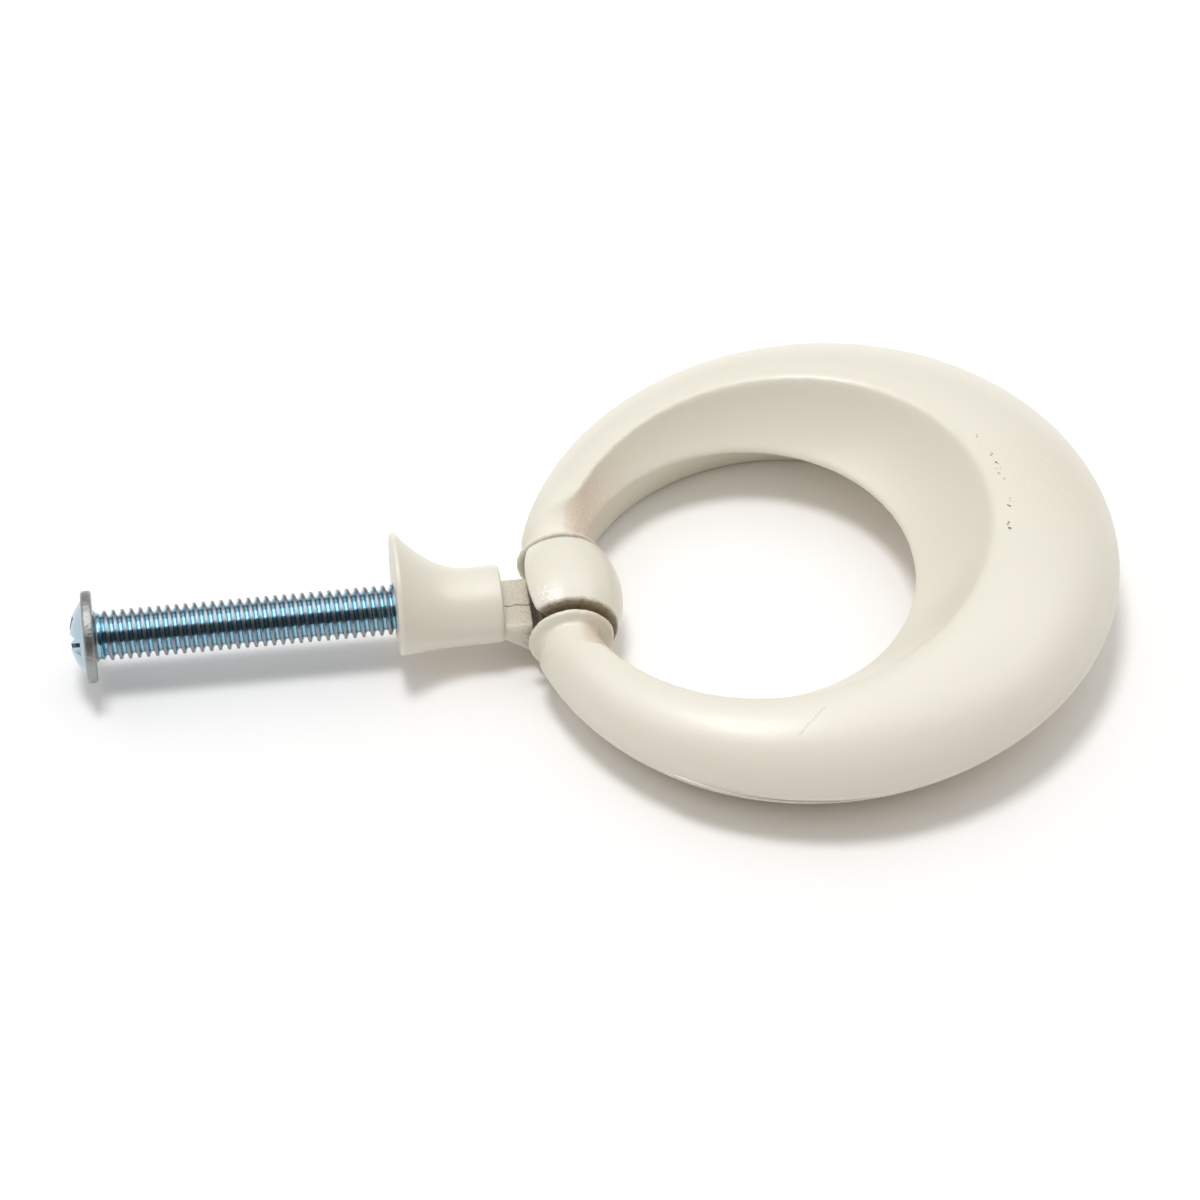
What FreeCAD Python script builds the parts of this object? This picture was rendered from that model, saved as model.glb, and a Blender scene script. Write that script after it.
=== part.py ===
import FreeCAD, Part
import math
import os

from FreeCAD import Vector

# Ring pull handle for a drawer or a cabinet door, in millimetres.
# The origin is where the screw's axis meets the mounting face. +X runs out along the screw's axis
# to the ring, +Y along the hinge pin, and +Z is up when the handle is in use. The ring is laid
# straight out along +X, as when the handle lies on a table.

# Screw, M4 with a flanged pan head and a combined slot and cross recess
shank_diameter = 3.9
shank_length = 30.0
tip_chamfer = 0.4
head_diameter = 7.2
head_rim = 0.85
dome_diameter = 5.8
dome_height = 1.1
slot_width = 1.2
slot_depth = 0.8
cross_width = 1.0
cross_span = 3.6
cross_depth = 1.3
recess_turn = -28.0
front_thickness = 23.4

# Post, a trumpet that stands on the drawer front, sinks from it and ends in a flat neck
base_diameter = 9.6
base_lift = 1.7
base_rim = 0.4
base_edge_radius = 0.3
waist_diameter = 6.1
waist_reach = 5.8
stem_diameter = 6.0
stem_length = 8.35
stem_drop = 0.45
stem_edge_radius = 0.25
screw_clearance = 0.05
screw_end_room = 0.6
neck_width = 5.4
neck_thickness = 1.3
neck_edge_radius = 0.45
neck_meets = 222.0
neck_swell = 0.35
neck_throat = 0.5

# Hook, a crowned strap at the end of the neck that is bent round the ring's pin
pin_reach = 13.4
pin_drop = 0.7
pin_diameter = 4.0
pin_clearance = 0.3
strap_width = 7.2
strap_edge = 1.3
strap_crown = 0.9
strap_start = 225.0
hook_opening = 89.0
strap_corner_radius = 0.8
strap_edge_radius = 0.25

# Ring, a crescent between circles whose ends are given at the pin and at the far end
collar_gap = 0.3
collar_thickness = 0.65
collar_diameter = 6.8
collar_edge_radius = 0.25
hole_start = 1.05
hole_diameter = 26.2
hole_rise = 0.4
scoop_at_pin = 1.6
scoop_at_far = 6.6
ridge_rise_at_pin = 2.6
ridge_rise_at_far = 7.2
ridge_width = 0.5
dome_at_pin = 3.15
dome_at_far = 9.75
rim_rise_at_pin = -0.9
rim_rise_at_far = 1.6
turn_at_pin = 3.4
turn_at_far = 7.3
land_width = 0.9
front_power = 1.08
back_power = 1.6
scoop_belly_plan = 0.52
scoop_belly_rise = 0.4
undercut_belly_plan = 0.55
undercut_belly_rise = 0.35
arm_root_radius = 2.5
arm_flare = 5.0

# Worked out from the sizes above
axis_x = Vector(1, 0, 0)
axis_y = Vector(0, 1, 0)
pin_centre = Vector(pin_reach, 0, -pin_drop)
bore_radius = pin_diameter / 2 + pin_clearance
edge_radius = bore_radius + strap_edge
hook_radius = edge_radius + strap_crown
strap_sweep = 360 - hook_opening
collar_inside = strap_width / 2 + collar_gap
collar_outside = collar_inside + collar_thickness
ring_depth = pin_drop + hook_radius

# Sections in a loft
flare_steps = 4
quarter_steps = 4


def cylinder(start, direction, radius, length):
    return Part.makeCylinder(radius, length, start, direction)


def box(low, high):
    size = high.sub(low)
    return Part.makeBox(size.x, size.y, size.z, low)


def face_of(edges):
    return Part.Face(Part.Wire(edges))


def line(a, b):
    return Part.LineSegment(a, b).toShape()


def arc(a, b, c):
    return Part.Arc(a, b, c).toShape()


def edges_on(shape, test):
    return [edge for edge in shape.Edges if test(edge)]


def from_pin(x, y):
    """A point level with the pin, given from the pin's middle."""
    return pin_centre.add(Vector(x, y, 0))


# Screw

def recess(crown):
    """A slot across the dome, and a deeper cross in its middle."""
    slot = (slot_depth, head_diameter, slot_width / 2)
    wings = (cross_depth, cross_span / 2, cross_width / 2), (cross_depth, cross_width / 2, cross_span / 2)
    cuts = []
    for depth, along_y, along_z in (slot, *wings):
        cuts.append(box(Vector(crown, -along_y, -along_z), Vector(crown + depth, along_y, along_z)))
    cut = cuts[0].fuse(cuts[1:])
    cut.rotate(Vector(0, 0, 0), axis_x, recess_turn)
    return cut


def make_screw():
    under_head = -front_thickness
    rim_face = under_head - head_rim
    shank = cylinder(Vector(under_head, 0, 0), axis_x, shank_diameter / 2, shank_length)
    tip = edges_on(shank, lambda e: abs(e.BoundBox.XMin - (under_head + shank_length)) < 1e-6)
    shank = shank.makeChamfer(tip_chamfer, tip)
    rim = cylinder(Vector(rim_face, 0, 0), axis_x, head_diameter / 2, head_rim)
    crown = rim_face - dome_height
    ball_radius = (dome_diameter ** 2 / 4 + dome_height ** 2) / (2 * dome_height)
    ball = Part.makeSphere(ball_radius, Vector(crown + ball_radius, 0, 0))
    dome = cylinder(Vector(crown, 0, 0), axis_x, dome_diameter / 2, dome_height).common(ball)
    return shank.fuse([rim, dome]).cut(recess(crown)).removeSplitter()


# Post and hook

def stem_section(x, radius, lift):
    return Part.Wire(Part.Circle(Vector(x, 0, lift), axis_x, radius).toShape())


def make_stem():
    """A trumpet: it flares from a waist to the base, mostly upwards, and a little to its end."""
    foot = cylinder(Vector(0, 0, base_lift), axis_x, base_diameter / 2, base_rim)
    sections = []
    for step in range(flare_steps + 1):
        along = step / flare_steps
        flare = (1 - along) ** 2
        x = base_rim + (waist_reach - base_rim) * along
        radius = waist_diameter / 2 + (base_diameter - waist_diameter) / 2 * flare
        sections.append(stem_section(x, radius, (base_lift + stem_drop) * flare - stem_drop))
    sections.append(stem_section(stem_length, stem_diameter / 2, -stem_drop))
    stem = foot.fuse(Part.makeLoft(sections, True)).removeSplitter()
    mounting = edges_on(stem, lambda e: e.BoundBox.XMax < 1e-6)
    stem = stem.makeFillet(base_edge_radius, mounting)
    end = edges_on(stem, lambda e: e.BoundBox.XMin > stem_length - 1e-6)
    return stem.makeFillet(stem_edge_radius, end)


def make_neck():
    """The flat lower half of the stem drawn out, with an underside that slopes into the hook's."""
    rooted = stem_length / 2
    half = neck_width / 2
    top = -stem_drop
    bottom = top - neck_thickness
    angle = math.radians(neck_meets)
    meeting = Vector(math.cos(angle), 0, math.sin(angle)).multiply(edge_radius + neck_swell)
    outline = [
        Vector(rooted, half, top),
        Vector(pin_reach, half, top),
        from_pin(0, half).add(Vector(0, 0, -edge_radius)),
        from_pin(0, half).add(meeting),
        Vector(stem_length, half, bottom),
        Vector(rooted, half, bottom),
    ]
    bar = Part.Face(Part.makePolygon(outline + outline[:1])).extrude(Vector(0, -neck_width, 0))
    upper = edges_on(bar, lambda e: e.BoundBox.ZMin > top - 1e-6 and e.BoundBox.YLength < 1e-6)
    return bar.makeFillet(neck_edge_radius, upper)


def make_strap():
    """A strap with a flat inside and a crowned outside, bent round the pin to its free end."""
    half = strap_width / 2
    a = from_pin(bore_radius, -half)
    b = from_pin(edge_radius, -half)
    c = from_pin(edge_radius, half)
    d = from_pin(bore_radius, half)
    section = face_of([line(a, b), arc(b, from_pin(hook_radius, 0), c), line(c, d), line(d, a)])
    section.rotate(pin_centre, axis_y, -strap_start)
    strap = section.revolve(pin_centre, axis_y, -strap_sweep)
    corners = edges_on(strap, lambda e: abs(e.Length - strap_edge) < 1e-6 and e.BoundBox.ZMin > pin_centre.z)
    strap = strap.makeFillet(strap_corner_radius, corners)
    sides = edges_on(strap, lambda e: e.BoundBox.YLength < 1e-6 and e.Length > edge_radius * 3)
    return strap.makeFillet(strap_edge_radius, sides)


def make_post():
    throat = cylinder(from_pin(0, -strap_width), axis_y, bore_radius + neck_throat, 2 * strap_width)
    neck = make_neck().cut(throat)
    post = make_stem().fuse([neck, make_strap()])
    depth = shank_length - front_thickness + screw_end_room
    hole = cylinder(Vector(0, 0, 0), axis_x, shank_diameter / 2 + screw_clearance, depth)
    return post.cut(hole).removeSplitter()


# Ring

class Hoop:
    """A circle whose diameter runs from a point at the pin end to one at the far end, in the XZ plane."""

    def __init__(self, near, near_rise, far, far_rise):
        self.near = Vector(pin_reach + near, 0, near_rise)
        self.far = Vector(pin_reach + far, 0, far_rise)

    def towards(self, other, plan, rise):
        """The hoop that lies part of the way to another one, in plan and in height."""
        ends = []
        for a, b in ((self.near, other.near), (self.far, other.far)):
            ends.append(a.x + (b.x - a.x) * plan - pin_reach)
            ends.append(a.z + (b.z - a.z) * rise)
        return Hoop(*ends)

    def inset(self, width):
        """The hoop in the same plane that is smaller by a width all round."""
        step = self.far.sub(self.near).normalize().multiply(width)
        near = self.near.add(step)
        far = self.far.sub(step)
        return Hoop(near.x - pin_reach, near.z, far.x - pin_reach, far.z)

    def wire(self):
        across = self.far.sub(self.near)
        middle = self.near.add(self.far).multiply(0.5)
        normal = across.cross(axis_y)
        return Part.Wire(Part.Circle(middle, normal, across.Length / 2).toShape())


hole_end = hole_start + hole_diameter
hole_hoop = Hoop(hole_start, hole_rise, hole_end, hole_rise)
ridge_start = hole_start - scoop_at_pin
ridge_end = hole_end + scoop_at_far
ridge_hoop = Hoop(ridge_start, ridge_rise_at_pin, ridge_end, ridge_rise_at_far)
rim_start = ridge_start - dome_at_pin
rim_end = ridge_end + dome_at_far
rim_hoop = Hoop(rim_start, rim_rise_at_pin, rim_end, rim_rise_at_far)
land_start = rim_start + turn_at_pin
land_end = rim_end - turn_at_far
land_hoop = Hoop(land_start, -ring_depth, land_end, -ring_depth)
back_hoop = land_hoop.inset(land_width)
crest_hoop = ridge_hoop.inset(ridge_width)


def quarter(start, end, power):
    """Hoops on a rounded quarter: upright at the first one, flat at the last. A power of 2 is a chamfer."""
    hoops = []
    for step in range(quarter_steps + 1):
        angle = math.pi / 2 * step / quarter_steps
        plan = 1 - math.cos(angle) ** power
        rise = math.sin(angle) ** power
        hoops.append(start.towards(end, plan, rise))
    return hoops


def loft(hoops):
    return Part.makeLoft([hoop.wire() for hoop in hoops], True)


def make_crescent():
    """The domed body of the ring, with a scooped front and an undercut back that meet at the hole."""
    front = loft(quarter(rim_hoop, ridge_hoop, front_power))
    back = loft(quarter(rim_hoop, land_hoop, back_power))
    body = front.fuse(back)
    scoop_belly = hole_hoop.towards(crest_hoop, scoop_belly_plan, scoop_belly_rise)
    scoop = loft([hole_hoop, scoop_belly, crest_hoop])
    undercut_belly = hole_hoop.towards(back_hoop, undercut_belly_plan, undercut_belly_rise)
    undercut = loft([back_hoop, undercut_belly, hole_hoop])
    return body.cut(scoop.fuse(undercut))


def arm_trimmer(side):
    """What is cut away round an arm where it narrows to its root at the collar."""
    start = side * collar_inside
    root = side * collar_outside
    end = side * (collar_outside + arm_flare)
    wide = arm_root_radius + arm_flare
    slant = arm_root_radius + arm_flare * (1 - math.sqrt(0.5))
    slant_y = side * (collar_outside + arm_flare * math.sqrt(0.5))
    outer = hole_diameter / 2
    p = [
        from_pin(arm_root_radius, start),
        from_pin(arm_root_radius, root),
        from_pin(slant, slant_y),
        from_pin(wide, end),
        from_pin(outer, end),
        from_pin(outer, start),
    ]
    edges = [line(p[0], p[1]), arc(p[1], p[2], p[3]), line(p[3], p[4]), line(p[4], p[5]), line(p[5], p[0])]
    return face_of(edges).revolve(pin_centre, axis_y, 360)


def make_ring():
    crescent = make_crescent()
    reach = hole_start + hole_diameter / 2
    low = Vector(pin_reach - reach, -collar_inside - collar_thickness / 2, -2 * ring_depth)
    high = Vector(pin_reach + reach, collar_inside + collar_thickness / 2, 2 * ridge_rise_at_far)
    crescent = crescent.cut([box(low, high), arm_trimmer(1), arm_trimmer(-1)])
    pin = cylinder(from_pin(0, -collar_outside), axis_y, pin_diameter / 2, 2 * collar_outside)
    pieces = [pin]
    for side in (1, -1):
        start = from_pin(0, side * collar_inside)
        collar = cylinder(start, axis_y * side, collar_diameter / 2, collar_thickness)
        rims = edges_on(collar, lambda e: e.BoundBox.YLength < 1e-6)
        pieces.append(collar.makeFillet(collar_edge_radius, rims))
    return crescent.fuse(pieces)


os.makedirs("parts", exist_ok=True)
for name, shape in (("screw", make_screw()), ("post", make_post()), ("ring", make_ring())):
    shape.exportStep("parts/" + name + ".step")
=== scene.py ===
"""Looks of the ring pull handle: painted castings, a threaded screw, and a white table top."""

import math

import bmesh
import bpy
from mathutils import Matrix, Vector
from mathutils.bvhtree import BVHTree


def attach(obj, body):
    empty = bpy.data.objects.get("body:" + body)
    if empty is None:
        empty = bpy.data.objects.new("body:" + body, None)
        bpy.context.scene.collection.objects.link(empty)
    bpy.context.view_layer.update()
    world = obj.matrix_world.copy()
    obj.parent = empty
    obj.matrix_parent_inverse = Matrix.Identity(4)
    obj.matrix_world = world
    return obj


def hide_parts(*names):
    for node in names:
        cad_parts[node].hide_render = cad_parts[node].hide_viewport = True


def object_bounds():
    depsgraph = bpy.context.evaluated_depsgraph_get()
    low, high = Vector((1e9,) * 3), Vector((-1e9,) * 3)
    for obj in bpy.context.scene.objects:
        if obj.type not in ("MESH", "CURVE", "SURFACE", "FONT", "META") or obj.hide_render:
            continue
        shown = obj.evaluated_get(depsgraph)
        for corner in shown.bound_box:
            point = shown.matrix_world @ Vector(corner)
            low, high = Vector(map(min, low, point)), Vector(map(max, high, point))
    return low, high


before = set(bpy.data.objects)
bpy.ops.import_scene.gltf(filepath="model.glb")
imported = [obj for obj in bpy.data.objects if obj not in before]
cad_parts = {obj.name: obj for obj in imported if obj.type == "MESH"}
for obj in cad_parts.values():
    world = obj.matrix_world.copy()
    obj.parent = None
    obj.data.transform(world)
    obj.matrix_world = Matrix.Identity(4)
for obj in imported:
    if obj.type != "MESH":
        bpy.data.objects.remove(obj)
cad_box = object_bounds()

mm = 0.001

# Screw, as in the part's source
shank_radius = 1.95 * mm
shank_length = 30.0 * mm
under_head = -23.4 * mm
head_radius = 3.6 * mm
head_rim = 0.85 * mm
dome_radius = 2.9 * mm
dome_height = 1.1 * mm
slot_width = 1.2 * mm
slot_depth = 0.8 * mm
cross_width = 1.0 * mm
cross_span = 3.6 * mm
cross_depth = 1.3 * mm
recess_turn = math.radians(-28)

# Rounding and mesh of the screw
head_edge = 0.25 * mm
head_fillet = 0.45 * mm
fillet_steps = 6
rim_steps = 4
dome_steps = 12
head_sides = 96
weld = 1e-7
sharp_angle = math.radians(40)

# Thread
pitch = 0.7 * mm
thread_depth = 0.41 * mm
thread_start = 0.35 * mm
run_out = 0.5 * mm
turn_steps = 64
run_out_depth = 0.4
profile = (
    (0.0, 0.96), (0.06, 1.0), (0.24, 1.0), (0.3, 0.96), (0.42, 0.45),
    (0.52, 0.06), (0.6, 0.0), (0.72, 0.0), (0.8, 0.06), (0.9, 0.45),
)

# Hinge and ring, as in the part's source
pin_x = 13.4 * mm
pin_z = -0.7 * mm
pin_radius = 2.0 * mm
strap_half = 3.6 * mm
hole_middle = Vector((27.55, 0.0, 0.4)) * mm
hole_radius = 13.1 * mm
ridge_middle = Vector((30.05, 0.0, 4.9)) * mm
ridge_radius = 17.3 * mm
rim_middle = Vector((33.35, 0.0, 0.0)) * mm
rim_radius = 23.65 * mm

# Skin of the castings
soften_factor = 0.5
ring_voxel = 0.24 * mm
ring_soften = 6
edge_soften = 32
edge_reach = 1.1 * mm
edge_bins = 240
edge_window = range(-9, 10)
ridge_soften = 48
ridge_reach = 2.4 * mm
circle_tilt = 0.15
post_voxel = 0.1 * mm
post_soften = 5

# Flash left by the mould along the near side of the ring
flash_from = math.radians(-126)
flash_to = math.radians(-82)
flash_level = -0.5 * mm
flash_width = 0.22 * mm
flash_height = 0.18 * mm
flash_steps = 60
flash_fade = 3
flash_profile = ((-1.0, -1.0), (-0.5, 0.4), (0.0, 1.0), (0.6, 0.5), (1.4, -1.0))

# Camera, as the photograph was taken
view_azimuth = math.radians(-7.02)
view_elevation = math.radians(47.31)
view_distance = 400.0 * mm
view_target = Vector((16.147, 0.0, -1.059)) * mm
view_lens = 152.92

# Table and light
table_half = 3.0
table_white = (0.97, 0.97, 0.97, 1)
sky_centre = Vector((0.0, 0.5, 0.8)).normalized()
sky_low = (0.145, 0.118, 0.09, 1)
sky_high = (0.82, 0.82, 0.82, 1)
sky_range = (-0.4, 0.9)
key_place = Vector((-0.08, 0.0, 1.0))
key_size = 0.26
key_power = 4.25

# Cards that show only in reflections: place, half of the height and of the width, and glow
cards = {
    "dark_card": ((0.0, -0.42, 0.27), (0.36, 0.8), 0.04),
    "bright_card": ((0.0, 0.05, 0.6), (0.27, 0.8), 2.3),
    "back_card": ((0.0, 0.6, 0.18), (0.14, 0.8), 0.3),
    "key_card": ((-0.3, -0.02, 0.95), (0.12, 0.12), 17.0),
}


def add_object(name, mesh):
    obj = bpy.data.objects.new(name, mesh)
    bpy.context.scene.collection.objects.link(obj)
    return obj


def shade_smooth(mesh):
    mesh.polygons.foreach_set("use_smooth", [True] * len(mesh.polygons))


def apply_modifiers(obj):
    graph = bpy.context.evaluated_depsgraph_get()
    mesh = bpy.data.meshes.new_from_object(obj.evaluated_get(graph))
    obj.modifiers.clear()
    obj.data = mesh
    shade_smooth(mesh)


def finish_mesh(name, bm):
    """An object from a bmesh, which is freed."""
    mesh = bpy.data.meshes.new(name)
    bmesh.ops.recalc_face_normals(bm, faces=bm.faces)
    bm.to_mesh(mesh)
    bm.free()
    shade_smooth(mesh)
    return add_object(name, mesh)


class Nodes:
    """The node tree of one material, with short calls for the nodes that it needs."""

    def __init__(self, name):
        self.material = bpy.data.materials.new(name)
        self.material.use_nodes = True
        self.tree = self.material.node_tree
        self.shader = self.tree.nodes["Principled BSDF"]
        place = self.add("ShaderNodeTexCoord")
        self.place = place.outputs["Object"]
        self.normal = place.outputs["Normal"]

    def add(self, kind, **settings):
        node = self.tree.nodes.new(kind)
        for key, value in settings.items():
            setattr(node, key, value)
        return node

    def put(self, node, socket, value):
        """Links a socket to a node's input, or sets the input where the value is a plain one."""
        if isinstance(value, bpy.types.NodeSocket):
            self.tree.links.new(value, node.inputs[socket])
        else:
            node.inputs[socket].default_value = value

    def math(self, operation, a, b=0.0):
        node = self.add("ShaderNodeMath", operation=operation)
        self.put(node, 0, a)
        self.put(node, 1, b)
        return node.outputs[0]

    def split(self, vector):
        node = self.add("ShaderNodeSeparateXYZ")
        self.put(node, 0, vector)
        return node.outputs

    def product(self, *values):
        result = values[0]
        for value in values[1:]:
            result = self.math("MULTIPLY", result, value)
        return result

    def radius(self, a, b, middle_a=0.0, middle_b=0.0):
        """The distance from an axis, given the two coordinates across it."""
        across = self.math("SUBTRACT", a, middle_a)
        along = self.math("SUBTRACT", b, middle_b)
        return self.math("SQRT", self.math("ADD", self.product(across, across), self.product(along, along)))

    def ramp(self, value, low, high, start=0.0, end=1.0):
        """A smooth step from start to end as the value goes from low to high."""
        node = self.add("ShaderNodeMapRange", interpolation_type="SMOOTHSTEP")
        for socket, x in enumerate((value, low, high, start, end)):
            self.put(node, socket, x)
        return node.outputs[0]

    def noise(self, size, detail=2.0, roughness=0.5):
        node = self.add("ShaderNodeTexNoise")
        self.put(node, "Vector", self.place)
        self.put(node, "Scale", 1 / size)
        self.put(node, "Detail", detail)
        self.put(node, "Roughness", roughness)
        return node.outputs["Fac"]

    def dots(self, size):
        """The distance from the middle of the nearest of many scattered cells, as a share of their size."""
        node = self.add("ShaderNodeTexVoronoi")
        self.put(node, "Vector", self.place)
        self.put(node, "Scale", 1 / size)
        return node.outputs["Distance"]

    def near(self, point, reach):
        """1 at a point in millimetres, falling to 0 at a reach from it."""
        node = self.add("ShaderNodeVectorMath", operation="DISTANCE")
        self.put(node, 0, self.place)
        self.put(node, 1, Vector(point) * mm)
        return self.ramp(node.outputs["Value"], reach * mm, 0.0)

    def hairline(self, start, end, width):
        """1 on a crooked line between two points in plan, in millimetres."""
        x, y, _ = self.split(self.place)
        a, b = Vector(start) * mm, Vector(end) * mm
        along = (b - a).normalized()
        across_x = self.math("MULTIPLY", self.math("SUBTRACT", x, a.x), -along.y)
        across_y = self.math("MULTIPLY", self.math("SUBTRACT", y, a.y), along.x)
        wander = self.math("MULTIPLY", self.math("SUBTRACT", self.noise(0.8 * mm, 4.0, 0.7), 0.5), 0.6 * mm)
        across = self.math("ABSOLUTE", self.math("ADD", self.math("ADD", across_x, across_y), wander))
        middle = (Vector(start) + Vector(end)) / 2
        length = (Vector(end) - Vector(start)).length / 2
        from_middle = self.radius(x, y, middle.x * mm, middle.y * mm)
        within = self.ramp(from_middle, length * mm, length * 0.8 * mm)
        return self.product(self.ramp(across, width * mm, width * 0.4 * mm), within)

    def mix(self, factor, a, b):
        node = self.add("ShaderNodeMix", data_type="RGBA")
        self.put(node, 0, factor)
        for socket, colour in ((6, a), (7, b)):
            self.put(node, socket, colour if isinstance(colour, bpy.types.NodeSocket) else (*colour, 1))
        return node.outputs[2]

    def bump(self, height, distance, strength=1.0, under=None):
        node = self.add("ShaderNodeBump")
        self.put(node, "Strength", strength)
        self.put(node, "Distance", distance)
        self.put(node, "Height", height)
        if under is not None:
            self.put(node, "Normal", under)
        return node.outputs["Normal"]

    def finish(self, **inputs):
        for socket, value in inputs.items():
            self.put(self.shader, socket.replace("_", " "), value)
        return self.material


# Castings

cream = (0.80, 0.765, 0.655)
thin_cream = (0.72, 0.59, 0.48)
blush = (0.78, 0.67, 0.57)
warm_bounce_brown = (0.80, 0.68, 0.52)
# Dark brown for grime on the strap's worn edge, and for painted shade in the gaps and inside the hook round
# the pin.
grime_and_gap_shade = (0.15, 0.10, 0.05)
soot = (0.05, 0.04, 0.03)
bare_zinc = (0.40, 0.38, 0.32)
worn_edge = (0.25, 0.20, 0.125)
crack_line = (0.52, 0.47, 0.38)
painted_glint_white = (0.97, 0.97, 0.95)
neck_top_darker = (0.62, 0.565, 0.465)
neck_corner = (0.36, 0.28, 0.17)
neck_seam = (0.28, 0.22, 0.14)
paint_rough = 0.3

# Marks on the paint, in millimetres: the middle of each, and how far it reaches
thin_far_arm = ((15.5, 6.5, 1.5), 9.0)
thin_near_arm = ((15.5, -6.0, 0.5), 5.0)
blushed_end = ((52.3, 2.3, 6.1), 8.0)
chipped_end = ((47.8, 1.5, 7.1), 7.0)
matt_arm = ((13.1, 6.5, 2.2), 5.0)
wrinkled_arm = ((19.2, 12.0, 2.4), 4.5)
# The patch on the hook's cap with painted glints and a rougher bump.
glint_patch_on_cap = ((11.6, -2.7, 2.9), 1.8)

# Hairlines on the paint, in millimetres: both ends, and the width
crack = ((28.6, -20.3), (31.2, -18.2), 0.1)
seam = ((8.3, -0.25), (10.9, -0.4), 0.1)


class Paint(Nodes):
    """Cream gloss paint with a faint orange peel, browner on faces that point down: painted warm bounce
    light for the shadows beneath.
    """

    def __init__(self, name):
        super().__init__(name)
        self.x, self.y, self.z = self.split(self.place)
        self.turn_x, _, self.turn_z = self.split(self.normal)
        # Painted warm bounce light: faces that point down turn warm brown, so the light they throw into the
        # shadows beneath is warm.
        self.colour = self.mix(self.ramp(self.turn_z, -0.5, -0.92), cream, warm_bounce_brown)
        self.peel = self.bump(self.noise(0.9 * mm), 0.02 * mm, 0.3)
        self.from_pin = self.radius(self.x, self.z, pin_x, pin_z)

    def tint(self, mask, colour):
        self.colour = self.mix(mask, self.colour, colour)

    def done(self, rough):
        return self.finish(
            Base_Color=self.colour, Roughness=rough, Normal=self.peel, Specular_IOR_Level=0.5
        )


def ring_paint():
    n = Paint("ring_cream")
    grain = n.noise(0.22 * mm, 3.0, 0.6)
    inward = n.ramp(n.turn_x, 0.14, 0.34)
    for patch in (thin_far_arm, thin_near_arm):
        n.tint(n.product(n.near(*patch), inward, n.ramp(grain, 0.2, 0.55)), thin_cream)
    n.tint(n.product(n.near(*blushed_end), n.ramp(grain, 0.3, 0.75, 0.0, 0.7)), blush)
    from_ridge = n.radius(n.x, n.y, ridge_middle.x)
    off_band = n.math("ABSOLUTE", n.math("SUBTRACT", from_ridge, ridge_radius + 0.65 * mm))
    band = n.ramp(off_band, 0.3 * mm, 0.08 * mm)
    at_far_end = n.ramp(n.near(*chipped_end), 0.0, 0.2)
    chips = n.product(band, at_far_end, n.ramp(n.dots(0.4 * mm), 0.34, 0.24))
    n.tint(n.product(chips, n.ramp(n.noise(1.1 * mm), 0.44, 0.5)), soot)
    cracked = n.product(n.hairline(*crack), n.ramp(n.turn_z, 0.1, 0.3))
    n.tint(n.math("MULTIPLY", cracked, 0.4), crack_line)
    # Painted shade: the pin turns dark brown where it shows in the gaps beside the strap.
    pin_gap_shade = n.product(n.ramp(n.from_pin, pin_radius + 0.4 * mm, pin_radius + 0.1 * mm),
                       n.ramp(n.math("ABSOLUTE", n.y), strap_half + 0.45 * mm, strap_half + 0.2 * mm))
    n.tint(pin_gap_shade, grime_and_gap_shade)
    wrinkled = n.near(*wrinkled_arm)
    n.peel = n.bump(n.product(grain, wrinkled), 0.05 * mm, 0.6, n.peel)
    return n.done(n.ramp(n.near(*matt_arm), 0.0, 0.6, paint_rough, 0.65))


def post_paint():
    n = Paint("post_cream")
    grain = n.noise(0.2 * mm, 3.0, 0.65)
    side = n.math("ABSOLUTE", n.y)
    on_hook = n.ramp(n.from_pin, 5.2 * mm, 4.6 * mm)
    ragged = n.math("MULTIPLY", n.math("SUBTRACT", grain, 0.5), 0.4 * mm)
    to_edge = n.math("ADD", side, ragged)
    edge = n.product(n.ramp(to_edge, strap_half - 0.55 * mm, strap_half - 0.08 * mm), on_hook)
    glint_patch = n.near(*glint_patch_on_cap)
    # Painted highlight: near-white specks on the cap, as glints where the rough paint catches the light.
    n.tint(n.product(glint_patch, n.ramp(n.noise(0.22 * mm, 2.0), 0.52, 0.6)), painted_glint_white)
    n.tint(edge, n.mix(n.ramp(n.x, pin_x - 3.4 * mm, pin_x - 2.2 * mm), bare_zinc, worn_edge))
    n.tint(n.product(edge, n.ramp(n.noise(0.6 * mm, 4.0, 0.7), 0.42, 0.66, 0.0, 0.8)), grime_and_gap_shade)
    # Painted shade inside the hook's curl, round the pin.
    n.tint(n.ramp(n.from_pin, pin_radius + 0.75 * mm, pin_radius + 0.45 * mm), grime_and_gap_shade)
    along_neck = n.product(n.ramp(n.x, 8.4 * mm, 8.7 * mm), n.ramp(n.x, 11.5 * mm, 11.0 * mm))
    on_neck = n.product(along_neck, n.ramp(n.z, 0.5 * mm, 0.0))
    corner = n.product(on_neck, n.ramp(n.x, 9.4 * mm, 10.6 * mm), n.ramp(grain, 0.42, 0.62))
    n.tint(corner, neck_corner)
    # The neck's top face is made darker and mottled.
    on_top = n.ramp(n.turn_z, 0.6, 0.9, 0.2, 1.0)
    n.tint(n.product(on_neck, on_top, n.ramp(grain, 0.3, 0.75, 0.4, 1.0)), neck_top_darker)
    n.tint(n.product(on_neck, n.hairline(*seam)), neck_seam)
    n.peel = n.bump(n.product(grain, on_neck), 0.05 * mm, 0.3, n.peel)
    n.peel = n.bump(n.product(n.noise(0.4 * mm, 1.0), glint_patch), 0.08 * mm, 1.0, n.peel)
    return n.done(n.ramp(edge, 0.0, 1.0, paint_rough, 0.5))


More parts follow.
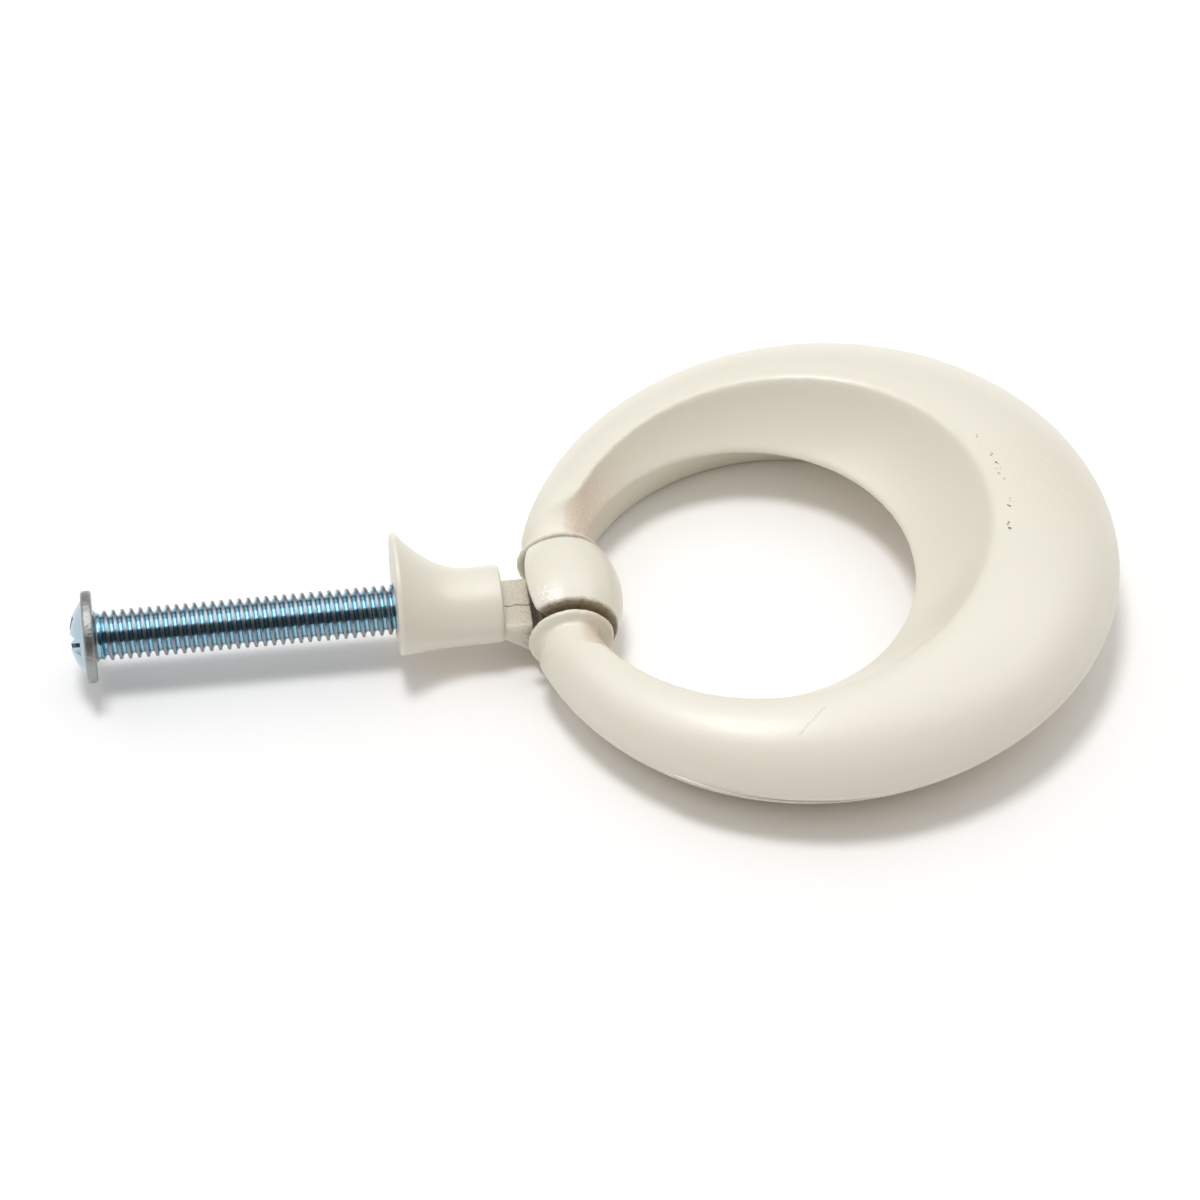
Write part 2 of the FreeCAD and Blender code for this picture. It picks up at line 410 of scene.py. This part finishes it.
def cast_skin(name, node, body, voxel, passes, material):
    """A node's solid with its edges softened, as thick paint over a casting softens them."""
    obj = add_object(name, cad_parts[node].data.copy())
    remesh = obj.modifiers.new("skin", "REMESH")
    remesh.mode = "VOXEL"
    remesh.voxel_size = voxel
    soften = obj.modifiers.new("soften", "SMOOTH")
    soften.factor = soften_factor
    soften.iterations = passes
    apply_modifiers(obj)
    dress(obj, material, body, node)
    return obj


def soften_circle(obj, name, middle, radius, reach, passes):
    """Rounds the edge that runs along a circle of the ring, away from the pin."""
    group = obj.vertex_groups.new(name=name)
    for vertex in obj.data.vertices:
        from_middle = vertex.co - middle
        off_circle = abs(from_middle.xy.length - radius)
        level = abs(from_middle.z) < reach + abs(from_middle.x) * circle_tilt
        clear = clear_of_pin(vertex.co, radius)
        if off_circle < reach and level and clear > 0:
            group.add([vertex.index], clear * (1 - off_circle / reach), "REPLACE")
    soften = obj.modifiers.new(name, "SMOOTH")
    soften.vertex_group = name
    soften.factor = soften_factor
    soften.iterations = passes
    apply_modifiers(obj)
    obj.vertex_groups.clear()


def clear_of_pin(place, radius):
    """0 for places beside the pin, rising to 1 further along the ring."""
    return min(1.0, max(0.0, 2 * (place.x - pin_x) / radius - 1))


def even_hole(casting):
    """Takes out the slow waves that the skin's grid leaves along the edge of the hole."""
    edge = [2 * hole_radius] * edge_bins
    beside = []
    for vertex in casting.data.vertices:
        out = vertex.co - hole_middle
        weight = 1 - abs(out.xy.length - hole_radius) / edge_reach
        if weight > 0 and abs(out.z) < edge_reach:
            place = edge_bins * (math.atan2(out.y, out.x) / (2 * math.pi) % 1.0)
            edge[int(place)] = min(edge[int(place)], out.xy.length)
            beside.append((vertex, out, place - 0.5, weight * clear_of_pin(vertex.co, hole_radius)))
    shift = []
    for step in range(edge_bins):
        around = [edge[(step + k) % edge_bins] for k in edge_window]
        shift.append(sum(around) / len(around) - edge[step])
    for vertex, out, place, weight in beside:
        low = math.floor(place)
        part = place - low
        moved = shift[low % edge_bins] * (1 - part) + shift[(low + 1) % edge_bins] * part
        vertex.co.xy += out.xy.normalized() * moved * weight


def make_ring():
    material = ring_paint()
    casting = cast_skin("ring_casting", "ring", "ring_pull", ring_voxel, ring_soften, material)
    soften_circle(casting, "hole_edge", hole_middle, hole_radius, edge_reach, edge_soften)
    even_hole(casting)
    soften_circle(casting, "ridge", ridge_middle, ridge_radius, ridge_reach, ridge_soften)
    make_flash(casting, material)


def dress(obj, material, body, node):
    obj.data.materials.clear()
    obj.data.materials.append(material)
    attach(obj, body)
    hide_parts(node)


def make_flash(casting, material):
    """A thin lip on the ring's near side, broken off at one end and fading at the other."""
    points = [vertex.co for vertex in casting.data.vertices]
    tree = BVHTree.FromPolygons(points, [polygon.vertices[:] for polygon in casting.data.polygons])
    bm = bmesh.new()
    rows = []
    for step in range(flash_steps + 1):
        along = step / flash_steps
        angle = flash_from + (flash_to - flash_from) * along
        outward = Vector((math.cos(angle), math.sin(angle), 0))
        fade = min(1.0, flash_fade * (1 - along))
        row = []
        for rise, out in flash_profile:
            level = Vector((0, 0, flash_level + rise * flash_width / 2))
            hit, *_ = tree.ray_cast(rim_middle + outward * 2 * rim_radius + level, -outward)
            row.append(bm.verts.new(hit + outward * out * flash_height * fade))
        rows.append(row)
    for one, two in zip(rows, rows[1:]):
        for a, b, c, d in zip(one, one[1:], two[1:], two):
            bm.faces.new((a, b, c, d))
        bm.faces.new((one[0], two[0], two[-1], one[-1]))
    for row in (rows[0], rows[-1]):
        bm.faces.new(row)
    dress(finish_mesh("ring_flash", bm), material, "ring_pull", "ring")


# Screw

blue_head = (0.43, 0.55, 0.63)
blue_shank = (0.29, 0.5, 0.61)
bare_rim = (0.34, 0.35, 0.34)
bare_crest = (0.31, 0.31, 0.32)


def thread_radius(x, share):
    """The thread's radius at a place along the screw, for a share of the way from crest to crest."""
    for (a, high_a), (b, high_b) in zip(profile, (*profile[1:], (1.0, profile[0][1]))):
        if a <= share <= b:
            height = high_a + (high_b - high_a) * (share - a) / (b - a)
    fade = min(1.0, max(0.0, (x - under_head - thread_start) / run_out))
    return shank_radius - thread_depth * ((1 - height) * fade + run_out_depth * (1 - fade))


def make_thread():
    """Rows of points that follow the helix, cut square at both ends."""
    bm = bmesh.new()
    turns = math.ceil(shank_length / pitch)
    rows = []
    for turn in range(-1, turns + 1):
        for share, _ in profile:
            row = []
            for step in range(turn_steps + 1):
                angle = 2 * math.pi * step / turn_steps
                x = under_head + pitch * (turn + share + step / turn_steps)
                radius = thread_radius(x, share)
                row.append(bm.verts.new((x, radius * math.cos(angle), radius * math.sin(angle))))
            rows.append(row)
    for lower, upper in zip(rows, rows[1:]):
        for a, b, c, d in zip(lower, lower[1:], upper[1:], upper):
            bm.faces.new((a, b, c, d))
    bmesh.ops.remove_doubles(bm, verts=bm.verts, dist=weld)
    for x, outward in ((under_head, -1), (under_head + shank_length, 1)):
        geometry = bm.verts[:] + bm.edges[:] + bm.faces[:]
        bmesh.ops.bisect_plane(
            bm, geom=geometry, plane_co=(x, 0, 0), plane_no=(outward, 0, 0), clear_outer=True
        )
    return finish_mesh("screw_thread", bm)


def head_outline():
    """Points (along the screw, radius) from the shank round the head to the middle of its dome."""
    core = shank_radius - thread_depth * run_out_depth
    rim = under_head - head_rim
    points = []
    for step in range(fillet_steps + 1):
        angle = math.pi / 2 * step / fillet_steps
        x = under_head + head_fillet * (1 - math.sin(angle))
        points.append((x, core + head_fillet * (1 - math.cos(angle))))
    for x, side in ((under_head, 1), (rim, -1)):
        for step in range(rim_steps + 1):
            angle = math.pi / 2 * step / rim_steps
            along, out = math.cos(angle), math.sin(angle)
            if side < 0:
                along, out = out, along
            points.append((x - side * head_edge * (1 - along), head_radius - head_edge * (1 - out)))
    ball = (dome_radius ** 2 + dome_height ** 2) / (2 * dome_height)
    spread = math.asin(dome_radius / ball)
    for step in range(dome_steps + 1):
        angle = spread * (1 - step / dome_steps)
        points.append((rim - dome_height + ball * (1 - math.cos(angle)), ball * math.sin(angle)))
    return points


def make_head():
    bm = bmesh.new()
    outline = [bm.verts.new((x, radius, 0)) for x, radius in head_outline()]
    for a, b in zip(outline, outline[1:]):
        bm.edges.new((a, b))
    geometry = bm.verts[:] + bm.edges[:]
    whole_turn = 2 * math.pi
    bmesh.ops.spin(bm, geom=geometry, axis=(1, 0, 0), cent=(0, 0, 0), angle=whole_turn, steps=head_sides)
    bmesh.ops.remove_doubles(bm, verts=bm.verts, dist=weld)
    bmesh.ops.holes_fill(bm, edges=bm.edges)
    head = finish_mesh("screw_head", bm)
    crown = under_head - head_rim - dome_height
    for wide, long, deep, turn in (
        (slot_width, 2 * head_radius, slot_depth, 0.0),
        (cross_width, cross_span, cross_depth, 0.0),
        (cross_width, cross_span, cross_depth, math.pi / 2),
    ):
        cut_recess(head, crown, wide, long, deep, recess_turn + turn)
    return head


def cut_recess(head, crown, wide, long, deep, turn):
    """Cuts one straight slot into the dome."""
    bm = bmesh.new()
    bmesh.ops.create_cube(bm, size=1.0)
    size = Matrix.Diagonal((2 * deep, long, wide, 1))
    place = Matrix.Rotation(turn, 4, "X") @ Matrix.Translation((crown, 0, 0))
    bmesh.ops.transform(bm, matrix=place @ size, verts=bm.verts)
    cutter = finish_mesh("cutter", bm)
    cut = head.modifiers.new("recess", "BOOLEAN")
    cut.object = cutter
    cut.solver = "EXACT"
    apply_modifiers(head)
    bpy.data.objects.remove(cutter)


def make_screw():
    material = screw_plating()
    for piece in (make_thread(), make_head()):
        piece.data.set_sharp_from_angle(angle=sharp_angle)
        dress(piece, material, "post_and_screw", "screw")


def screw_plating():
    """Blue zinc plating, worn to bare steel at the thread's crests and on the head's rim."""
    n = Nodes("blue_zinc")
    x, y, z = n.split(n.place)
    radius = n.radius(y, z)
    crest = n.ramp(radius, shank_radius - 0.12 * mm, shank_radius - 0.03 * mm)
    on_rim = n.ramp(radius, head_radius - 0.35 * mm, head_radius - 0.15 * mm)
    on_shank = n.math("GREATER_THAN", x, under_head + 0.02 * mm)
    worn = n.math("ADD", n.product(crest, on_shank), on_rim)
    blue = n.mix(on_shank, blue_head, blue_shank)
    bare = n.mix(on_shank, bare_rim, bare_crest)
    colour = n.mix(worn, blue, bare)
    scuff = n.noise(0.25 * mm, 4.0, 0.65)
    rough = n.ramp(worn, 0.0, 1.0, 0.19, 0.3)
    dents = n.bump(scuff, 0.07 * mm, n.ramp(on_rim, 0.0, 1.0, 0.08, 1.0))
    return n.finish(Base_Color=colour, Metallic=1.0, Roughness=rough, Normal=dents)


# Table, light and camera

def make_table():
    floor = cad_box[0][2]
    mesh = bpy.data.meshes.new("table")
    sides = ((-1, -1), (1, -1), (1, 1), (-1, 1))
    mesh.from_pydata([(x * table_half, y * table_half, floor) for x, y in sides], [], [(0, 1, 2, 3)])
    table = add_object("table", mesh)
    n = Nodes("white_table")
    mesh.materials.append(n.finish(Base_Color=table_white, Roughness=0.9))


def make_key():
    """The light that casts the shadows. Its reflection is a card's, further to the left."""
    data = bpy.data.lights.new("key", "AREA")
    data.shape = "DISK"
    data.size = key_size
    data.energy = key_power
    light = bpy.data.objects.new("key", data)
    light.location = key_place
    light.rotation_euler = (view_target - key_place).to_track_quat("-Z", "Y").to_euler()
    light.visible_glossy = False
    bpy.context.scene.collection.objects.link(light)


def make_sky():
    """A dome of soft light, brightest overhead and behind the object, dim and warm low in front."""
    world = bpy.data.worlds.new("studio")
    world.use_nodes = True
    tree = world.node_tree
    place = tree.nodes.new("ShaderNodeTexCoord")
    facing = tree.nodes.new("ShaderNodeVectorMath")
    facing.operation = "DOT_PRODUCT"
    facing.inputs[1].default_value = sky_centre
    tree.links.new(place.outputs["Generated"], facing.inputs[0])
    ramp = tree.nodes.new("ShaderNodeMapRange")
    ramp.interpolation_type = "SMOOTHSTEP"
    for socket, value in zip(ramp.inputs[1:5], (*sky_range, 0.0, 1.0)):
        socket.default_value = value
    tree.links.new(facing.outputs["Value"], ramp.inputs[0])
    blend = tree.nodes.new("ShaderNodeMix")
    blend.data_type = "RGBA"
    blend.inputs[6].default_value = sky_low
    blend.inputs[7].default_value = sky_high
    tree.links.new(ramp.outputs[0], blend.inputs[0])
    tree.links.new(blend.outputs[2], tree.nodes["Background"].inputs["Color"])
    bpy.context.scene.world = world


def make_card(name, place, size, glow):
    """A card that faces the object and shows only in its reflections."""
    rise, spread = size
    mesh = bpy.data.meshes.new(name)
    corners = [(-rise, -spread, 0), (rise, -spread, 0), (rise, spread, 0), (-rise, spread, 0)]
    mesh.from_pydata(corners, [], [(0, 1, 2, 3)])
    black = (0.0, 0.0, 0.0, 1)
    white = (1.0, 1.0, 1.0, 1)
    n = Nodes(name)
    n.finish(Base_Color=black, Roughness=1.0, Emission_Color=white, Emission_Strength=glow)
    mesh.materials.append(n.material)
    card = add_object(name, mesh)
    card.location = place
    card.rotation_euler = Vector(place).to_track_quat("Z", "X").to_euler()
    card.visible_camera = False
    card.visible_diffuse = False
    card.visible_shadow = False


def make_light():
    make_sky()
    make_key()
    for name, (place, size, glow) in cards.items():
        make_card(name, place, size, glow)
    bpy.context.scene.view_settings.view_transform = "Standard"


def view_back():
    """The direction from the object to the camera."""
    level = math.cos(view_elevation)
    across = math.sin(view_azimuth) * level
    away = math.cos(view_azimuth) * level
    return Vector((across, -away, math.sin(view_elevation)))


def make_camera():
    back = view_back()
    data = bpy.data.cameras.new("camera")
    data.lens = view_lens
    data.clip_start = 0.01
    camera = bpy.data.objects.new("camera", data)
    camera.location = view_target + back * view_distance
    camera.rotation_euler = (-back).to_track_quat("-Z", "Y").to_euler()
    bpy.context.scene.collection.objects.link(camera)
    bpy.context.scene.camera = camera


make_ring()
cast_skin("post_casting", "post", "post_and_screw", post_voxel, post_soften, post_paint())
make_screw()
make_table()
make_light()
make_camera()
